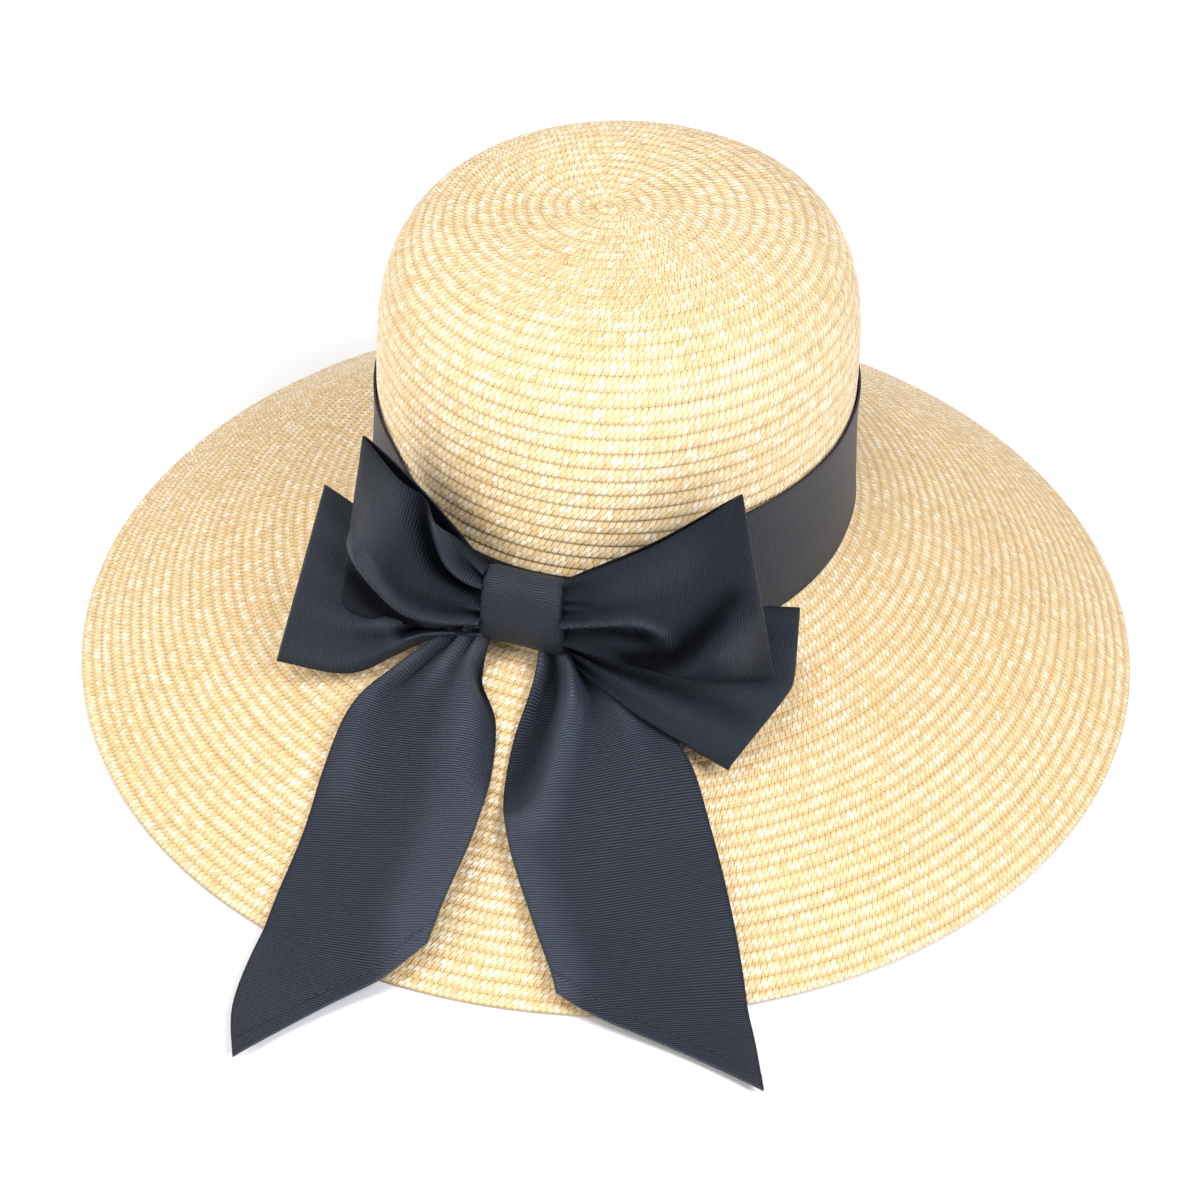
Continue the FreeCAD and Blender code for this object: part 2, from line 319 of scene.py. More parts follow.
def braid_pieces():
    """The spiral braid, cut into the stretches that the CAD nodes stand for."""
    rng = np.random.default_rng(11)
    length, theta, places, widths = braid_spiral()
    along = np.arange(0, length[-1], STRAW_PITCH / 2)
    sway_seed, lift_seed = rng.integers(1 << 30, size=2)
    levels = [(-0.5, -TUCK), (-0.5, 0.0), (-0.27, 0.0), (0.0, 0.0), (0.25, 0.0), (0.42, 0.0), (0.5, 0.12)]
    rings, marks = [], []
    for number, (share, offset) in enumerate(levels):
        width = np.interp(along, length, widths)
        across = share * width + offset
        here = along - STRAW_SLANT * across
        turn = np.interp(here, length, theta)
        inner = np.interp(here, length, places)
        last = number == len(levels) - 1
        if last:
            across = across + 0.16 * np.cos(TAU * along / STRAW_PITCH)
        sway = wobble(np.random.default_rng(sway_seed), here, (61, 173, 407, 1290), 0.42)
        rise = wobble(np.random.default_rng(lift_seed), here, (37, 95, 260, 911), 0.14)
        slope = across / width + 0.5
        if number == 0:
            lift = -ROW_STEP - 0.5 + rise
        else:
            lift = -ROW_STEP * (1 - slope) + rise + plait_relief(here, across, width)
        doubled = smoothstep(RIM_PLACE - 6, RIM_PLACE - 3, inner + 0.5 * width)
        lift = lift + 0.35 * doubled * slope
        place = np.clip(inner + 0.5 * width + across + sway, 0, RIM_PLACE + 0.4)
        fade = 1 - smoothstep(15, 120, place)
        shift = (COIL_SHIFT[0] * fade, COIL_SHIFT[1] * fade)
        rings.append((place, turn, lift, shift))
        marks.append(np.stack([here, across, np.broadcast_to(width, here.shape)], -1))
    under = [(6, -BRAID_THICKNESS * 0.8), (0, -BRAID_THICKNESS * 0.6)]
    for source, drop in under:
        place, turn, lift, shift = rings[source]
        rings.append((place, turn, lift + drop, shift))
        marks.append(marks[source])
    points = np.stack([straw_point(*ring) for ring in rings], 1)
    marks = np.stack(marks, 1)
    inner = np.interp(along, length, places)
    tip_end, wall_middle = place_of_height(TIP_HEIGHT), place_of_height(WALL_SPLIT)
    brim_middle, edge_start = HEAD_PLACE + BRIM_SPLIT, RIM_PLACE - EDGE_WIDTH
    cuts = [("straw_tip", 0.0, tip_end, "crown_tip"),
            ("straw_crown_upper", tip_end, wall_middle, "crown_wall"),
            ("straw_crown_lower", wall_middle, HEAD_PLACE, None),
            ("straw_brim_inner", HEAD_PLACE, brim_middle, "brim"),
            ("straw_brim_outer", brim_middle, edge_start, None),
            ("straw_brim_edge", edge_start, RIM_PLACE + 9, "brim_edge")]
    made = []
    ring_size = points.shape[1]
    for name, low, high, node in cuts:
        first = int(np.searchsorted(inner, low if low > 0 else -99))
        last = min(int(np.searchsorted(inner, high)) + 1, len(along))
        part, mark = points[first:last], marks[first:last]
        faces = grid_faces(len(part), ring_size, wrap_columns=True)
        end = (len(part) - 1) * ring_size
        caps = []
        for near in range(ring_size // 2 - 1):
            far = ring_size - 1 - near
            caps.append([near, near + 1, far - 1, far])
            caps.append([end + far, end + far - 1, end + near + 1, end + near])
        faces = np.concatenate([faces, caps])
        made.append((new_mesh(name, part, faces, {"braid": mark}), node))
    return made


# ---- ribbons that ring the crown ----
KNOT_TURN = -0.15  # the bow sits a little to the left of the front
PINCH_SPREAD = 0.62  # how far round the knot draws the band in, in radians


def flat_place(along, across, width):
    """Places on the flat ribbon: along, across, and the distance from the nearer selvedge."""
    along, across = np.broadcast_arrays(along, across)
    return np.stack([along, across, np.minimum(across, width - across)], -1)


def ring_ribbon(name, z_low, z_high, lift, thickness, sway, pinch=0.0):
    """A band round the crown, outside it at a positive lift and inside it at a negative one.

    pinch is how far the knot at the front draws the band's upper edge down.
    """
    rng = np.random.default_rng(5)
    theta = np.linspace(0, TAU, 720, endpoint=False)
    heights = np.linspace(z_low, z_high, 15)
    ring = np.zeros((len(theta), len(heights), 3))
    bow_side = (theta - KNOT_TURN + math.pi) % TAU - math.pi
    drawn = pinch * np.exp(-(bow_side / PINCH_SPREAD) ** 4)
    up = (heights - z_low) / (z_high - z_low)
    loose = np.abs(wobble(rng, theta, (TAU / 3, TAU / 5, TAU / 11), sway))
    for column, height in enumerate(heights):
        level = height - drawn * up[column]
        place = np.interp(-level, -PROFILE[2], PLACE)
        waves = lift + thickness / 2 + loose * (0.25 + 0.75 * abs(2 * up[column] - 1))
        ring[:, column] = straw_point(place, theta, waves)
    steps = np.linalg.norm(np.roll(ring[:, 7], -1, 0) - ring[:, 7], axis=1)
    around = np.concatenate([[0], np.cumsum(steps)[:-1]])
    cloth = flat_place(around[:, None], (up * (z_high - z_low))[None], z_high - z_low)
    return ribbon_shell(name, ring, cloth, thickness, wrap_rows=True), around[-1] + steps[-1]


# ---- bow ----
RIBBON_WIDTH = 56.0
RIBBON_THICKNESS = 0.6
RIBBON_CLEARANCE = 0.75  # air between a tail and the straw under it
RIBBON_COLUMNS = 57  # points across the ribbon of a loop or tail
LOOP_SPACING = 1.1  # distance between a loop's rows of points
LOOP_GRIP = 1.0  # how far a loop's pinched end reaches into the knot's side
LAYER_GAP = 0.9  # a loop's front layer stays this far from the middle
LAYER_EASE = 0.4  # over which a crease that would sink deeper levels out
ROOT_LIFT = 10.0  # height of a tail's root above the straw, under the knot
HEM_WIDTH = 4.5  # turned and sewn strip at a tail's cut end
KNOT_X = -12.5
KNOT_FOOT = 5.2
KNOT_HEIGHT = 28.5
KNOT_WIDTH = 28.0
KNOT_DEPTH = 11.4
KNOT_STAND_OFF = 1.4


def knot_frame():
    """The middle of the knot's back, with its right and outward directions."""
    place = place_of_height(KNOT_FOOT)
    half_width, half_depth = (float(np.interp(place, PLACE, row)) for row in PROFILE[:2])
    angle = math.asin(KNOT_X / half_width)
    right = np.array([half_width * math.cos(angle), half_depth * math.sin(angle), 0])
    right /= np.linalg.norm(right)
    outward = np.array([right[1], -right[0], 0])
    foot = np.array([KNOT_X, -half_depth * math.cos(angle), KNOT_FOOT])
    return foot, right, outward


def crease_height(spots, along, across):
    """Sum of soft ridges and valleys, each along a line of (along, across) points.

    A spot is (points, height at the start, height at the end, half width in millimetres).
    """
    total = np.zeros_like(along)
    for points, start, end, spread in spots:
        line = catmull(points, np.linspace(0, 1, 14))
        reach = np.full_like(along, 1e9)
        share = np.zeros_like(along)
        for k in range(len(line) - 1):
            a, b = line[k], line[k + 1]
            d = b - a
            size = max(float(d @ d), 1e-9)
            t = np.clip(((along - a[0]) * d[0] + (across - a[1]) * d[1]) / size, 0, 1)
            far = (along - a[0] - t * d[0]) ** 2 + (across - a[1] - t * d[1]) ** 2
            closer = far < reach
            reach = np.where(closer, far, reach)
            share = np.where(closer, (k + t) / (len(line) - 1), share)
        total += (start + (end - start) * share) * np.exp(-reach / (2 * spread * spread))
    return total


def bow_loop(name, low, high, gap, creases, gathers, seed, bulge=0.0):
    """A loop of ribbon: out from the knot, round a soft fold, and back behind itself.

    low and high are points along the loop's lower and upper edge, from the knot to the fold.
    gap is (half gap at the knot, in the middle, at the fold) between the two layers. bulge is
    how far the middle of the fold pushes out beyond a straight line.
    """
    rng = np.random.default_rng(seed)
    turn = np.linspace(0, 1, 421)
    from_fold = np.abs(2 * turn - 1)
    reach = 1 - from_fold ** 1.5
    side = np.where(turn < 0.5, 1.0, -1.0)
    lower, upper = catmull(low, reach), catmull(high, reach)
    w = np.linspace(0, 1, RIBBON_COLUMNS)
    base = between(lower[:, None], upper[:, None], w)
    knot_low, far_low, fold_low = catmull(low, [0.0, 0.7, 1.0])
    knot_high, far_high, fold_high = catmull(high, [0.0, 0.7, 1.0])
    run = fold_low + fold_high - knot_low - knot_high
    rise = far_high - far_low
    outward = np.cross(run, rise)
    outward /= np.linalg.norm(outward)
    if outward[1] > 0:
        outward = -outward
    length = np.linalg.norm(run) / 2
    corner = 1.05 - np.sqrt(((w - 0.55) / 0.5) ** 2 + 0.01)
    pushed = bulge * np.clip(corner, 0, 1)[None] * (reach ** 4)[:, None]
    base = base + pushed[..., None] * (run / np.linalg.norm(run))
    start = 0.80
    round_off = np.sqrt(np.maximum(1 - ((reach - start) / (1 - start)) ** 2, 0))
    closing = np.where(reach > start, round_off, 1.0)
    open_by = catmull(np.array(gap, float)[:, None], reach)[:, 0] * closing
    pillow = 0.3 + 0.7 * np.sin(math.pi * w) ** 0.8
    layer = side[:, None] * open_by[:, None] * pillow[None]
    s_grid = np.broadcast_to(reach[:, None], layer.shape)
    w_grid = np.broadcast_to(w[None], layer.shape)
    height = crease_height(creases, s_grid * length, w_grid * RIBBON_WIDTH)
    hold = closing[:, None] * np.where(side[:, None] > 0, 1.0, 0.0)
    phase = rng.uniform(0, TAU)
    near = np.exp(-(s_grid * length) / gathers[1])
    pleats = gathers[0] * near * np.sin(TAU * gathers[2] * w_grid + phase)
    shifted = layer + height * hold
    # However deep a crease sinks, the front layer stays clear of the back one.
    nearest = LAYER_GAP * closing[:, None] - np.abs(layer)
    held_off = LAYER_EASE * np.logaddexp(shifted / LAYER_EASE, nearest / LAYER_EASE)
    shifted = np.where(side[:, None] > 0, held_off, layer)
    both = pleats * np.sqrt(closing)[:, None]
    points = base + (shifted + both)[..., None] * outward
    fold = height * hold + both * side[:, None]
    middle = points[:, RIBBON_COLUMNS // 2]
    travelled = travel(middle)
    count = int(travelled[-1] / LOOP_SPACING)
    even = np.interp(np.linspace(0, travelled[-1], count), travelled, turn)
    index = even * (len(turn) - 1)
    below = np.minimum(index.astype(int), len(turn) - 2)
    part = (index - below)[:, None, None]
    points = points[below] * (1 - part) + points[below + 1] * part
    fold = fold[below] * (1 - part[..., 0]) + fold[below + 1] * part[..., 0]
    along = np.linspace(0, travelled[-1], count)[:, None]
    cloth = flat_place(along, w[None] * RIBBON_WIDTH, RIBBON_WIDTH)
    return ribbon_shell(name, points, cloth, RIBBON_THICKNESS, fold=fold), travelled[-1]


def bow_knot():
    """The ribbon wrapped round the middle of the bow, with its ends closed in."""
    foot, right, outward = knot_frame()
    # The wrap starts and ends at the back, where the knot lies on the band.
    phi = math.pi + np.linspace(0, TAU, 160, endpoint=False)
    side = np.concatenate([[-0.5], np.linspace(-1, 1, 33) * 0.5, [0.5]])
    cosine, sine = np.cos(phi), np.sin(phi)
    power = 2 / 2.7
    out = np.sign(cosine) * np.abs(cosine) ** power
    up = np.sign(sine) * np.abs(sine) ** power
    grid = np.zeros((len(phi), len(side), 3))
    for column, x in enumerate(side):
        cap = 0.05 if column in (0, len(side) - 1) else 1.0
        roll = 1 - 0.10 * smoothstep(0.40, 0.5, abs(x)) - 0.04 * math.cos(math.pi * x) ** 2
        fold = 0.35 * np.sin(TAU * 1.6 * x + 0.9 * up) * (0.4 + 0.6 * np.abs(up))
        deep = (KNOT_DEPTH / 2 * roll + fold * (out > 0)) * cap
        tall = (KNOT_HEIGHT / 2 * (roll * 0.4 + 0.6)) * cap
        wide = KNOT_WIDTH * (0.97 + 0.05 * -up)
        centre = foot + outward * (KNOT_STAND_OFF + KNOT_DEPTH / 2) + np.array([0, 0, KNOT_HEIGHT / 2])
        grid[:, column] = (centre + np.outer(x * wide, right)
                           + np.outer(out * deep, outward) + np.outer(up * tall, [0, 0, 1]))
    around = np.linalg.norm(np.roll(grid[:, 17], -1, 0) - grid[:, 17], axis=1)
    along = np.concatenate([[0], np.cumsum(around)[:-1]])
    cloth = flat_place(along[:, None], (side + 0.5)[None] * KNOT_WIDTH, KNOT_WIDTH)
    # Painted shade on the lower side: it gets the crease value of a hollow, which the ribbon material paints
    # dark.
    crease = np.zeros_like(cloth)
    crease[..., 0] = -2.6 * np.clip((-0.1 - up) / 0.8, 0, 1)[:, None]
    faces = grid_faces(len(phi), len(side), wrap_rows=True, flip=True)
    return new_mesh("ribbon_knot", grid, faces, {"cloth": cloth, "crease": crease})


# ---- tails ----
def brim_share(x, y):
    low, high = np.zeros_like(x), np.full_like(x, 2.0)
    for _ in range(30):
        share = (low + high) / 2
        outside = ((x / (HEAD_HALF_WIDTH + BRIM_SIDE * share)) ** 2
                   + (y / (HEAD_HALF_WIDTH * (1 + HEAD_OVAL) + BRIM_FRONT * share)) ** 2) > 1
        low, high = np.where(outside, share, low), np.where(outside, high, share)
    return low


def support_height(x, y):
    """Height of what a ribbon lies on: the brim, or the table beyond its edge."""
    share = brim_share(x, y)
    on_brim = -BRIM_DROP * ((1 - BRIM_DROOP) * share + BRIM_DROOP * share ** 2)
    return np.maximum(on_brim, TABLE)


def tail(name, left, right, cut, waves, creases, pleats):
    """A ribbon tail over the brim. left and right are the plan points of its edges at the same
    stations; cut is the station, from 0 to 1, at which each edge ends."""
    rows, columns = 190, RIBBON_COLUMNS
    w = np.linspace(0, 1, columns)
    reach = np.linspace(0, 1, rows)
    stop = cut[0] * (1 - w) + cut[1] * w
    station = reach[:, None] * stop[None]
    a = catmull(left, station.ravel()).reshape(rows, columns, 2)
    b = catmull(right, station.ravel()).reshape(rows, columns, 2)
    plan = between(a, b, w)
    stations = np.linspace(0, 1, 400)
    left_edge, right_edge = catmull(left, stations), catmull(right, stations)
    middle = (left_edge + right_edge) / 2
    # A flat section across the ribbon, just clear of the straw under it, at every station.
    shares = np.linspace(0, 1, 15)
    section = between(left_edge[:, None], right_edge[:, None], shares)
    below = support_height(section[..., 0], section[..., 1])
    lean = below[:, -1] - below[:, 0]
    clear = (below - below[:, :1] - lean[:, None] * shares[None]).max(1)
    base = below[:, 0] + clear
    base = eased(base, 31, mode="edge")
    lean = eased(lean, 31, mode="edge")
    base += RIBBON_CLEARANCE + RIBBON_THICKNESS / 2
    line = np.column_stack([middle, base + lean / 2])
    travelled = travel(line)
    along = np.interp(station, stations, travelled)
    flat = np.interp(station, stations, base) + np.interp(station, stations, lean) * w[None]
    close = support_height(plan[..., 0], plan[..., 1]) + RIBBON_CLEARANCE + RIBBON_THICKNESS / 2
    settle = 0.35 * smoothstep(20, 60, along)
    z = flat * (1 - settle) + np.maximum(close, flat - 6) * settle
    across = np.broadcast_to(w[None] * RIBBON_WIDTH, along.shape)
    total = travelled[-1]
    for height, count, tilt, place in waves:
        ripple = 0.5 + 0.5 * np.sin(TAU * (along / total * count + tilt * w[None] + place))
        z = z + height * ripple * smoothstep(15, 55, along)
    raised = crease_height(creases, along, across)
    z = z + np.maximum(raised, -4.0)
    z = z + ROOT_LIFT * np.exp(-(along / 9.0) ** 2)
    height, count, reach_of_pleats = pleats
    near_knot = np.exp(-(along / reach_of_pleats) ** 1.6)
    pleated = height * (0.5 + 0.5 * np.sin(TAU * count * w[None] + 0.05 * along)) * near_knot
    z = z + pleated
    # Fold heights for the ribbon material's painted shade and highlight: the pleats count more, and are
    # centred so that their troughs read as hollows.
    fold = raised + pleated * 1.6 - height * 0.8 * near_knot
    z = np.maximum(z, close - 0.35)
    points = np.concatenate([plan, z[..., None]], -1)
    slant = math.hypot(RIBBON_WIDTH, (cut[1] - cut[0]) * total)
    from_cut = (stop[None] - station) * total * RIBBON_WIDTH / slant
    hem = 1 - smoothstep(HEM_WIDTH - 0.4, HEM_WIDTH + 0.4, from_cut)
    points[..., 2] += 0.3 * hem
    cloth = flat_place(along, across, RIBBON_WIDTH)
    piece = ribbon_shell(name, points, cloth, RIBBON_THICKNESS * (1 + 0.8 * hem), fold=fold)
    flat_length = float(np.interp(max(cut), stations, travelled))
    area = RIBBON_WIDTH * float(np.interp(np.mean(cut), stations, travelled))
    return piece, points, from_cut, flat_length, area


def stitch_line(name, points, from_cut, inset, pitch, length, radius, lift):
    """Small rounded stitches along the line that lies inset from a tail's cut end."""
    rows, columns = from_cut.shape
    line = []
    for column in range(columns):
        order = np.argsort(from_cut[:, column])
        at = np.interp(inset, from_cut[order, column], np.arange(rows)[order])
        low = int(min(max(at, 0), rows - 2))
        share = at - low
        line.append(points[low, column] * (1 - share) + points[low + 1, column] * share)
    line = np.array(line)
    line[:, 2] += lift
    travelled = travel(line)
    verts, faces = [], []
    place = 2.0
    while place + length < travelled[-1] - 1.5:
        ends = [np.array([np.interp(p, travelled, line[:, k]) for k in range(3)])
                for p in np.linspace(place, place + length, 5)]
        along = ends[-1] - ends[0]
        along /= np.linalg.norm(along)
        side = np.cross(along, [0, 0, 1])
        side /= np.linalg.norm(side)
        up = np.cross(side, along)
        first = len(verts)
        for k, centre in enumerate(ends):
            size = radius * (0.35 if k in (0, 4) else 1.0)
            sink = -radius * (1.2 if k in (0, 4) else 0.0)
            for corner in range(6):
                turn = TAU * corner / 6
                verts.append(centre + side * size * math.cos(turn) + up * (size * math.sin(turn) + sink))
        faces += (grid_faces(5, 6, wrap_columns=True) + first).tolist()
        faces += [[first + 3, first + 2, first + 1, first], [first + 5, first + 4, first + 3, first],
                  [first + 24, first + 25, first + 26, first + 27],
                  [first + 24, first + 27, first + 28, first + 29]]
        place += pitch
    return new_mesh(name, verts, faces)


# ---- materials ----
class Nodes:
    """Short calls for building a node material."""

    def __init__(self, name):
        self.material = bpy.data.materials.new(name)
        self.material.use_nodes = True
        self.tree = self.material.node_tree
        self.tree.nodes.clear()
        self.output = self.tree.nodes.new("ShaderNodeOutputMaterial")
        self.shader = self.tree.nodes.new("ShaderNodeBsdfPrincipled")
        self.tree.links.new(self.shader.outputs[0], self.output.inputs["Surface"])

    def link(self, value, socket):
        if isinstance(value, bpy.types.NodeSocket):
            self.tree.links.new(value, socket)
        else:
            socket.default_value = (*value, 1) if socket.type == "RGBA" else value

    def math(self, operation, *values):
        node = self.tree.nodes.new("ShaderNodeMath")
        node.operation = operation
        for value, socket in zip(values, node.inputs):
            self.link(value, socket)
        return node.outputs[0]

    def plus(self, first, second):
        return self.math("ADD", first, second)

    def minus(self, first, second):
        return self.math("SUBTRACT", first, second)

    def times(self, first, second):
        return self.math("MULTIPLY", first, second)

    def weighted(self, *terms):
        """The sum of (value, weight) terms."""
        total = self.times(*terms[0])
        for term in terms[1:]:
            total = self.plus(total, self.times(*term))
        return total

    def step(self, low, high, value):
        node = self.tree.nodes.new("ShaderNodeMapRange")
        node.interpolation_type = "SMOOTHSTEP"
        node.inputs["From Min"].default_value = low
        node.inputs["From Max"].default_value = high
        self.link(value, node.inputs["Value"])
        return node.outputs["Result"]

    def mix(self, share, first, second):
        node = self.tree.nodes.new("ShaderNodeMix")
        node.data_type = "RGBA"
        self.link(share, node.inputs["Factor"])
        self.link(first, node.inputs["A"])
        self.link(second, node.inputs["B"])
        return node.outputs["Result"]

    def vector(self, x, y=0.0, z=0.0):
        node = self.tree.nodes.new("ShaderNodeCombineXYZ")
        for value, socket in zip((x, y, z), node.inputs):
            self.link(value, socket)
        return node.outputs[0]

    def attribute(self, name):
        node = self.tree.nodes.new("ShaderNodeAttribute")
        node.attribute_name = name
        split = self.tree.nodes.new("ShaderNodeSeparateXYZ")
        self.tree.links.new(node.outputs["Vector"], split.inputs[0])
        return split.outputs[:3]

    def noise(self, vector, scale, detail=2.0, rough=0.5):
        node = self.tree.nodes.new("ShaderNodeTexNoise")
        self.link(vector, node.inputs["Vector"])
        node.inputs["Scale"].default_value = scale
        node.inputs["Detail"].default_value = detail
        node.inputs["Roughness"].default_value = rough
        return node.outputs["Fac"]

    def random(self, vector):
        node = self.tree.nodes.new("ShaderNodeTexWhiteNoise")
        node.noise_dimensions = "3D"
        self.link(vector, node.inputs["Vector"])
        return node.outputs["Value"]

    def ramp(self, value, stops):
        node = self.tree.nodes.new("ShaderNodeValToRGB")
        while len(node.color_ramp.elements) < len(stops):
            node.color_ramp.elements.new(0.5)
        for element, (place, colour) in zip(node.color_ramp.elements, stops):
            element.position = place
            element.color = (*colour, 1)
        self.link(value, node.inputs["Fac"])
        return node.outputs["Color"]

    def object_place(self):
        return self.tree.nodes.new("ShaderNodeTexCoord").outputs["Object"]

    def bump(self, height, distance, strength):
        node = self.tree.nodes.new("ShaderNodeBump")
        node.inputs["Strength"].default_value = strength
        node.inputs["Distance"].default_value = distance
        self.link(height, node.inputs["Height"])
        return node.outputs["Normal"]

    def set(self, name, value):
        self.link(value, self.shader.inputs[name])


def straw_material():
    n = Nodes("straw")
    along, across, width = n.attribute("braid")
    inward = n.math("DIVIDE", across, n.times(width, 0.5))
    from_middle = n.math("ABSOLUTE", inward)
    meander = n.noise(n.vector(n.times(along, 0.9), 2.0), 1.0, 1.0, 0.5)
    middle = n.minus(across, n.times(n.minus(meander, 0.5), 1.6))
    outer_half = n.step(-0.02, 0.02, middle)
    place = n.math("DIVIDE", n.plus(along, n.times(across, STRAW_SLANT)), STRAW_PITCH)
    place = n.plus(place, n.times(outer_half, 0.5))
    name = n.math("FLOOR", place)
    side = n.minus(n.minus(place, name), 0.5)
    beside = n.math("ABSOLUTE", side)
    which = n.plus(n.times(name, 2.0), outer_half)
    tone_of_straw = n.random(n.vector(which, 1.0, 3.0))
    tilt_across = n.minus(n.random(n.vector(which, 5.0, 2.0)), 0.5)
    tilt_along = n.minus(n.random(n.vector(which, 8.0, 4.0)), 0.5)
    hue = n.random(n.vector(which, 9.0, 7.0))
    mean_row = (CROWN_ROW + BRIM_ROW) / 2
    on_brim = n.step(mean_row + 0.1, mean_row - 0.1, width)
    fibres = n.noise(n.vector(n.times(side, 9.0), n.times(across, 0.55),
                              n.times(which, 3.7)), 1.0, 3.0, 0.6)
    patches = n.noise(n.object_place(), 24.0, 3.0, 0.55)
    row_drift = n.noise(n.vector(n.times(along, 0.013)), 1.0, 2.0, 0.6)
    bunches = n.noise(n.vector(n.times(along, 0.16), 4.0), 1.0, 2.0, 0.6)
    ragged = n.noise(n.vector(n.times(along, 0.45), 9.0), 1.0, 2.0, 0.6)

    mottle = n.minus(n.noise(n.object_place(), 620.0, 2.0, 0.6), 0.5)
    tone = n.weighted((tone_of_straw, 0.26), (fibres, 0.40), (mottle, 0.55), (row_drift, 0.24),
                      (bunches, 0.34), (patches, 0.20))
    tone = n.minus(tone, 0.17)
    colour = n.ramp(tone, [(0.08, (0.50, 0.30, 0.115)), (0.28, (0.70, 0.475, 0.215)),
                           (0.50, (0.82, 0.607, 0.335)), (0.72, (0.905, 0.722, 0.475)),
                           (0.92, (0.96, 0.845, 0.66))])
    greyed = n.times(n.step(0.86, 0.97, hue), 0.22)
    colour = n.mix(greyed, colour, (0.60, 0.58, 0.50))
    rusty = n.times(n.step(0.10, 0.02, hue), 0.25)
    colour = n.mix(rusty, colour, (0.62, 0.36, 0.17))
    # Each row is golden towards its borders, partly the straw's own tone and partly painted shade
    # where the round row turns away from the light; more so on the brim, where the rows lie closer.
    golden_tone_and_shade = n.times(n.step(0.10, 0.95, from_middle), n.plus(0.22, n.times(on_brim, 0.46)))
    colour = n.mix(golden_tone_and_shade, colour, (0.76, 0.50, 0.20))
    # The roundest straws catch the light in short pale glints.
    glint = n.times(n.step(0.50, 0.85, tone_of_straw), n.step(0.44, 0.12, beside))
    glint = n.times(glint, n.step(0.75, 0.35, from_middle))
    glint = n.times(glint, n.step(0.34, 0.62, bunches))
    colour = n.mix(n.times(glint, 0.62), colour, (0.99, 0.965, 0.90))
    # Painted shade in the thin dark gaps between the straws, widest where they turn under at the braid's
    # edges.
    turned = n.math("POWER", from_middle, 3.0)
    reach = n.minus(0.435, n.times(turned, 0.12))
    gap = n.step(0.0, 0.06, n.minus(beside, reach))
    gap = n.times(gap, n.plus(0.08, n.times(ragged, 0.72)))
    colour = n.mix(gap, colour, (0.35, 0.22, 0.085))
    # The straws turn back at the braid's free edge: painted highlights on the turns make short
    # bright dashes, and painted shade darkens the crevices between them.
    edge_place = n.minus(across, n.times(width, 0.5))
    on_edge = n.step(-0.62, -0.42, edge_place)
    dash = n.math("ABSOLUTE", n.minus(n.math("FRACT", n.math("DIVIDE", along, STRAW_PITCH)), 0.5))
    lit = n.times(on_edge, n.step(0.06, 0.16, dash))
    colour = n.mix(n.times(lit, n.times(ragged, 0.45)), colour, (0.95, 0.83, 0.58))
    # Painted shade in the crevices between the dashes.
    between = n.times(on_edge, n.step(0.16, 0.05, dash))
    between = n.times(between, n.step(0.30, 0.62, ragged))
    colour = n.mix(n.times(between, 0.60), colour, (0.26, 0.145, 0.05))
    seam = n.times(n.step(-0.80, -0.66, edge_place), n.step(-0.48, -0.60, edge_place))
    colour = n.mix(n.times(seam, 0.14), colour, (0.45, 0.27, 0.10))
    # Painted shade where a row runs in under the free edge of the row before it, a little more on the brim.
    shade_under_overlap = n.step(0.95, 0.15, n.plus(across, n.times(width, 0.5)))
    shade_under_overlap = n.times(shade_under_overlap, n.plus(0.20, n.times(on_brim, 0.12)))
    colour = n.mix(shade_under_overlap, colour, (0.50, 0.29, 0.11))
    n.set("Base Color", colour)
    n.set("Roughness", n.plus(n.times(hue, 0.30), 0.24))
    n.set("Specular IOR Level", 0.5)
    round_side = n.math("POWER", n.times(beside, 2.0), 4.0)
    height = n.weighted((round_side, -STRAW_ROUND), (n.times(tilt_across, side), 0.75),
                        (n.times(tilt_along, across), 0.16), (fibres, 0.14), (seam, -0.12))
    n.set("Normal", n.bump(height, MM, 0.9))
    return n.material


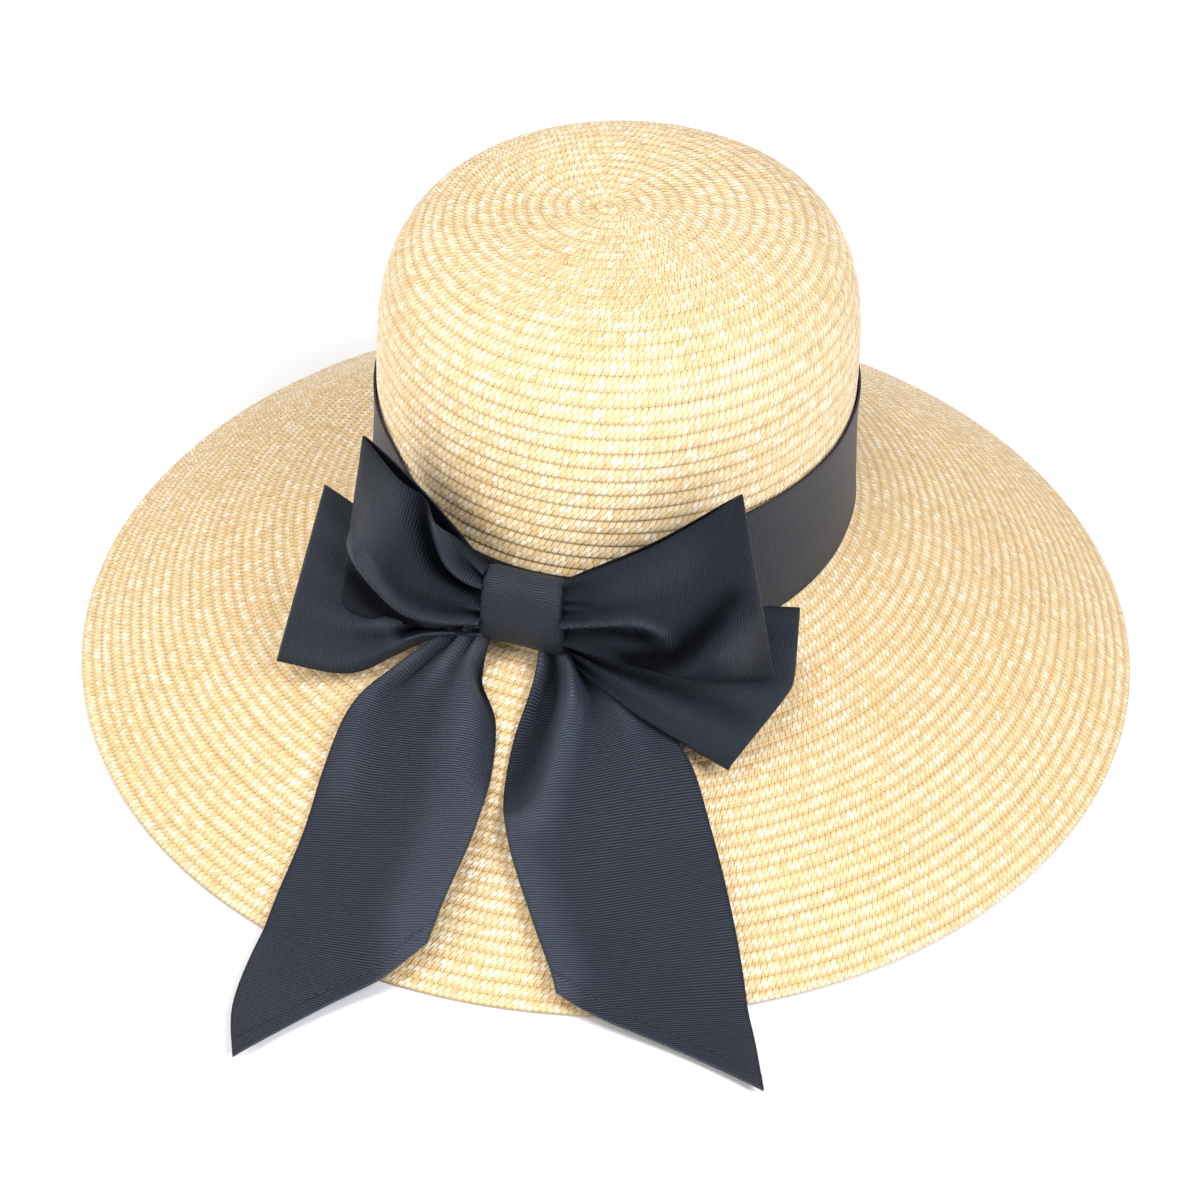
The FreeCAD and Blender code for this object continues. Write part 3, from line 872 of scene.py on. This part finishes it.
def ribbon_material(name, dark, light, gloss):
    """Ribbed ribbon: fine ribs run across it, and a firm selvedge along each side."""
    n = Nodes(name)
    along, across, edge = n.attribute("cloth")
    uneven = n.noise(n.vector(n.times(across, 0.35), n.times(along, 0.8)), 1.0)
    run = n.plus(along, n.times(uneven, 0.25))
    rib = n.math("ABSOLUTE", n.math("SINE", n.times(run, math.pi / 0.84)))
    rib = n.math("POWER", rib, 0.9)
    warp = n.math("ABSOLUTE", n.math("SINE", n.times(across, math.pi / 0.28)))
    fuzz = n.noise(n.vector(n.times(across, 5.0), n.times(along, 2.0)), 1.0, 3.0, 0.65)
    speck = n.noise(n.vector(n.times(across, 1.1), n.times(along, 0.5)), 1.0, 2.0, 0.6)
    worn = n.noise(n.object_place(), 14.0, 3.0, 0.5)
    # The rib crests are painted lighter, a painted highlight on each rib; fuzz, speck and worn add tone that
    # differs at random.
    tone = n.minus(n.weighted((rib, 1.0), (fuzz, 0.40), (speck, 0.2), (worn, 0.25)), 0.52)
    colour = n.mix(tone, dark, light)
    # Painted shade in the creases' hollows and a painted highlight along their ridges; the ridges also get
    # more specular and the hollows less.
    crease = n.attribute("crease")[0]
    hollow_shade = n.step(0.4, -3.6, crease)
    ridge_highlight = n.step(0.2, 3.2, crease)
    colour = n.mix(n.times(hollow_shade, 0.75), colour, (0.0010, 0.0011, 0.0014))
    colour = n.mix(n.times(ridge_highlight, 0.45), colour, [v * 1.5 for v in light])
    on_selvedge = n.step(1.1, 0.7, edge)
    colour = n.mix(n.times(on_selvedge, 0.45), colour, [v * 0.55 for v in dark])
    n.set("Base Color", colour)
    n.set("Roughness", n.plus(n.times(fuzz, 0.16), 0.32))
    shine = n.plus(gloss, n.times(ridge_highlight, 0.26))
    n.set("Specular IOR Level", n.minus(shine, n.times(hollow_shade, 0.17)))
    n.set("Sheen Weight", 0.02)
    n.set("Sheen Roughness", 0.4)
    n.set("Sheen Tint", (0.70, 0.80, 1.0))
    n.set("Specular Tint", (0.80, 0.90, 1.0))
    height = n.weighted((rib, 1.0), (warp, 0.22), (on_selvedge, 0.8), (fuzz, 0.3))
    n.set("Normal", n.bump(height, 0.22 * MM, 0.9))
    return n.material


def thread_material():
    n = Nodes("thread")
    twist = n.noise(n.object_place(), 2600.0, 2.0, 0.6)
    n.set("Base Color", n.mix(twist, (0.008, 0.0085, 0.011), (0.045, 0.048, 0.060)))
    n.set("Roughness", n.plus(n.times(twist, 0.3), 0.4))
    n.set("Normal", n.bump(twist, 0.1 * MM, 0.8))
    return n.material


def floor_material():
    n = Nodes("pale_floor")
    grain = n.noise(n.object_place(), 6.0)
    n.set("Base Color", n.mix(grain, (0.93, 0.93, 0.93), (0.95, 0.95, 0.95)))
    n.set("Roughness", 0.7)
    return n.material


# ---- build ----
straw = straw_material()
# Three copies of one navy ribbon, lighter or darker as painted light: a shaded copy for the upper loops, a
# half-lit one for the lower loops, and a lit copy, standing in for reflected light, for the band, knot and
# tails.
ribbon_shaded_copy = ribbon_material("ribbon_shaded_copy", (0.0020, 0.0025, 0.0042), (0.0098, 0.0120, 0.0200), 0.20)
low_loop_ribbon = ribbon_material("low_loop_ribbon", (0.0028, 0.0035, 0.0058), (0.0150, 0.0182, 0.0290), 0.30)
ribbon_lit_copy = ribbon_material("ribbon_lit_copy", (0.0040, 0.0048, 0.0076), (0.0245, 0.0282, 0.0455), 0.36)
lining_ribbon = ribbon_material("lining_ribbon", (0.0060, 0.0070, 0.0100), (0.0260, 0.0300, 0.0400), 0.22)
thread = thread_material()


def finish_piece(piece, material, body="hat", nodes=()):
    piece.data.materials.append(material)
    if body:
        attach(piece, body)
    if nodes:
        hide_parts(*nodes)


for piece, node in braid_pieces():
    finish_piece(piece, straw, nodes=[node] if node else [])

band, band_length = ring_ribbon("ribbon_band", 0.5, 45.5, 0.25, 0.7, 0.45, pinch=17.0)
finish_piece(band, ribbon_lit_copy, nodes=["hat_band"])

sweat, sweat_length = ring_ribbon("ribbon_sweatband", 1.0, 26.0, -2.95, 0.7, 0.0)
finish_piece(sweat, lining_ribbon, nodes=["sweatband"])

knot = bow_knot()
finish_piece(knot, ribbon_lit_copy, nodes=["bow_knot"])

foot, right, outward = knot_frame()


def by_knot(side, height, out_by):
    """A point against the knot's left (-1) or right (+1) side."""
    point = foot + right * (side * (KNOT_WIDTH / 2 - LOOP_GRIP)) + outward * out_by
    return [point[0], point[1], height]


loops = {
    "ribbon_upper_left": dict(
        low=[by_knot(-1, 13.0, 9.0), [-52, -106.5, 6.5], [-76.5, -99.5, 5.0]],
        high=[by_knot(-1, 33.5, 8.0), [-48.5, -98.5, 53.0], [-71.0, -82.0, 62.0]],
        gap=(1.6, 6.8, 4.0),
        creases=[
            ([(25, 54), (21, 44), (15, 34), (4, 28)], -3.5, -6.0, 2.9),
            ([(17, 56), (12, 44), (4, 36)], 3.6, 2.6, 3.2),
            ([(34, 50), (38, 36), (40, 26)], 2.0, 2.4, 6.0),
            ([(0, 2), (22, 8), (33, 15), (43, 23), (53, 24)], 3.0, 4.4, 2.4),
            ([(26, 1), (38, 8), (50, 12)], -4.0, -4.2, 4.4),
            ([(2, 20), (12, 20), (24, 22)], 1.8, 0.6, 2.2),
        ],
        gathers=(1.9, 7.0, 4.5), seed=3),
    "ribbon_upper_right": dict(
        low=[by_knot(1, 11.5, 10.0), [33, -121, 10.6], [67.0, -112.5, 7.5]],
        high=[by_knot(1, 35.5, 8.0), [26, -106.5, 50.0], [51.5, -98.0, 66.4]],
        gap=(1.6, 6.8, 4.0),
        creases=[
            ([(0, 20), (17, 26), (26, 26), (32, 21), (34, 15), (33, 11)], 4.4, 1.2, 2.1),
            ([(0, 12), (14, 18), (26, 18)], -1.6, -3.0, 3.0),
            ([(24, 3), (38, 12), (54, 25)], -5.0, -3.6, 4.4),
            ([(52, 10), (58, 18)], 3.0, 3.0, 6.5),
            ([(0, 36), (7, 34)], -2.6, -1.0, 1.8),
            ([(20, 44), (40, 46)], 1.4, 1.4, 8.0),
        ],
        gathers=(1.2, 7.0, 3.0), seed=8),
    "ribbon_lower_left": dict(
        low=[by_knot(-1, 3.5, 5.0), [-46, -103.5, -0.5], [-57.5, -106.5, -6.5], [-72.0, -111.0, -12.5],
             [-96.5, -108.5, -13.0]],
        high=[by_knot(-1, 15.5, 4.0), [-52.5, -90.0, 24.6], [-87.0, -72.0, 34.0]],
        gap=(1.0, 2.4, 3.6),
        creases=[
            ([(0, 15), (14, 20), (26, 22)], 6.0, 3.6, 2.4),
            ([(0, 10), (16, 12), (30, 12)], -4.0, -4.0, 2.2),
            ([(0, 5), (12, 6), (24, 5)], 5.0, 3.4, 2.4),
            ([(28, 8), (38, 18)], 3.0, 2.6, 4.0),
        ],
        gathers=(2.6, 36.0, 4.0), seed=4),
    "ribbon_lower_right": dict(
        low=[by_knot(1, 2.5, 5.5), [22, -122.5, -4.2], [56.0, -135.5, -13.4]],
        high=[by_knot(1, 14.5, 4.0), [39.0, -97.5, 20.0], [71.0, -88.0, 17.5]],
        gap=(1.0, 2.4, 3.6),
        creases=[
            ([(0, 20), (26, 26), (50, 30)], 2.2, 1.0, 3.4),
            ([(4, 8), (30, 14), (56, 18)], -2.2, -1.2, 4.0),
        ],
        gathers=(2.4, 36.0, 4.0), bulge=9.0, seed=6),
}
for name, made in loops.items():
    level, side = name.split("_")[1:]
    loop, loop_length = bow_loop(name, **made)
    cloth_of_loop = low_loop_ribbon if level == "lower" else ribbon_shaded_copy
    finish_piece(loop, cloth_of_loop, nodes=[level + "_loop_" + side])

# Each tail: the plan points of its left and right edges, the station at which each edge is cut, and its
# waves, creases and pleats near the knot.
tails = {
    "left": dict(
        left=[(-31, -102.5), (-51.5, -107.0), (-67, -121), (-73, -140), (-76.5, -160), (-81, -180),
              (-84, -200), (-84, -222), (-78, -243)],
        right=[(-23.5, -102.5), (-27.0, -113), (-20.0, -127), (-18.2, -146), (-20, -166), (-26, -186),
               (-31, -207), (-33, -229), (-30, -250)],
        cut=(0.985, 0.685), waves=[(3.0, 1.4, 0.3, 0.1), (1.4, 2.6, -0.5, 0.6)],
        creases=[
            ([(2, 14), (12, 16), (24, 15)], 3.0, 0.6, 3.0),
            ([(6, 8), (16, 10), (26, 8)], -3.0, -0.6, 2.6),
            ([(2, 30), (16, 32), (40, 36)], 1.8, 0.3, 4.0),
            ([(14, 53), (30, 55), (62, 57)], -4.0, -1.0, 3.2),
            ([(70, 57), (130, 57)], 3.0, 5.0, 9.0),
            ([(12, 42), (40, 44), (100, 45)], 3.0, 1.6, 8.0),
            ([(30, 4), (60, 8)], 2.0, 1.6, 5.0),
        ],
        pleats=(7.0, 2.5, 19.0)),
    "right": dict(
        left=[(-8.5, -102.5), (-9.5, -115), (-13.0, -134), (-13, -152), (-8, -168), (2, -186), (12, -203),
              (20, -222), (26, -238)],
        right=[(-1.5, -102.5), (14, -109.5), (29, -118.5), (43.5, -133), (53, -150), (60.5, -166), (68, -185),
               (74, -205), (79, -228)],
        cut=(0.76, 0.995), waves=[(2.8, 1.2, -0.4, 0.3), (1.4, 2.4, 0.5, 0.2)],
        creases=[
            ([(0, 16), (12, 23), (22, 25)], 5.0, 2.0, 2.0),
            ([(18, 26), (36, 19), (58, 10)], 5.4, 2.2, 4.2),
            ([(14, 12), (32, 9), (50, 3)], -4.0, -2.4, 5.0),
            ([(4, 34), (26, 36)], -1.6, -0.6, 4.0),
            ([(0, 44), (20, 46), (44, 44)], 2.6, 0.8, 3.4),
            ([(60, -1), (110, -1)], 2.5, 4.0, 8.0),
        ],
        pleats=(6.0, 2.5, 17.0)),
}
for side, made in tails.items():
    ribbon, points, from_cut, flat_length, area = tail("ribbon_tail_" + side, **made)
    hem = stitch_line("hem_thread_" + side, points, from_cut, inset=4.6, pitch=3.6, length=2.4,
                      radius=0.2, lift=0.62)
    finish_piece(ribbon, ribbon_lit_copy, body=None, nodes=["tail_root_" + side, "tail_" + side])
    finish_piece(hem, thread, body="tail_" + side + "_free", nodes=["hem_stitches_" + side])
    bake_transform(ribbon)

for node in ("sweatband_stitches", "bow_tacks"):
    cad = next(o for o in bpy.context.scene.objects if o.get("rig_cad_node") == node)
    cad.data.materials.clear()
    cad.data.materials.append(thread)

# ---- floor, light and camera ----
def floor():
    size = 6000.0
    corners = [(-size, -size, TABLE), (size, -size, TABLE), (size, size, TABLE), (-size, size, TABLE)]
    plane = new_mesh("floor", corners, [[0, 1, 2, 3]])
    plane.data.materials.append(floor_material())


def area_light(name, place, size, power, colour=(1, 1, 1)):
    """A round soft light that points at the origin."""
    data = bpy.data.lights.new(name, "AREA")
    data.shape = "DISK"
    data.size = size
    data.energy = power
    data.color = colour
    lamp = bpy.data.objects.new(name, data)
    lamp.location = place
    lamp.rotation_mode = "QUATERNION"
    lamp.rotation_quaternion = (-Vector(place)).to_track_quat("-Z", "Y")
    bpy.context.scene.collection.objects.link(lamp)


CAMERA_EYE = Vector((86.1, -711.9, 499.3))
CAMERA_TARGET = Vector((0, 0, -56.9))
CAMERA_LENS = 73.2
CAMERA_ROLL = 2.15


def camera():
    data = bpy.data.cameras.new("camera")
    data.sensor_width = 36.0
    data.lens = CAMERA_LENS
    data.shift_x = -0.0081
    data.clip_start, data.clip_end = 0.05, 50
    eye, target = CAMERA_EYE * MM, CAMERA_TARGET * MM
    cam = bpy.data.objects.new("camera", data)
    cam.location = eye
    cam.rotation_mode = "QUATERNION"
    roll = Matrix.Rotation(math.radians(CAMERA_ROLL), 4, "Z").to_quaternion()
    cam.rotation_quaternion = (target - eye).to_track_quat("-Z", "Y") @ roll
    bpy.context.scene.collection.objects.link(cam)
    bpy.context.scene.camera = cam


def world():
    sky = bpy.data.worlds.new("world")
    sky.use_nodes = True
    background = sky.node_tree.nodes["Background"]
    background.inputs["Color"].default_value = (1, 1, 1, 1)
    background.inputs["Strength"].default_value = 0.54
    bpy.context.scene.world = sky


floor()
camera()
world()
area_light("key", (1.3, -1.1, 1.6), 1.0, 41.0, (0.965, 1.0, 1.05))
area_light("overhead", (-0.3, -0.62, 1.9), 0.7, 13.0)
area_light("fill", (-1.6, -1.0, 1.0), 1.2, 21.0, (1.0, 0.975, 0.935))
bpy.context.scene.view_settings.view_transform = "Standard"
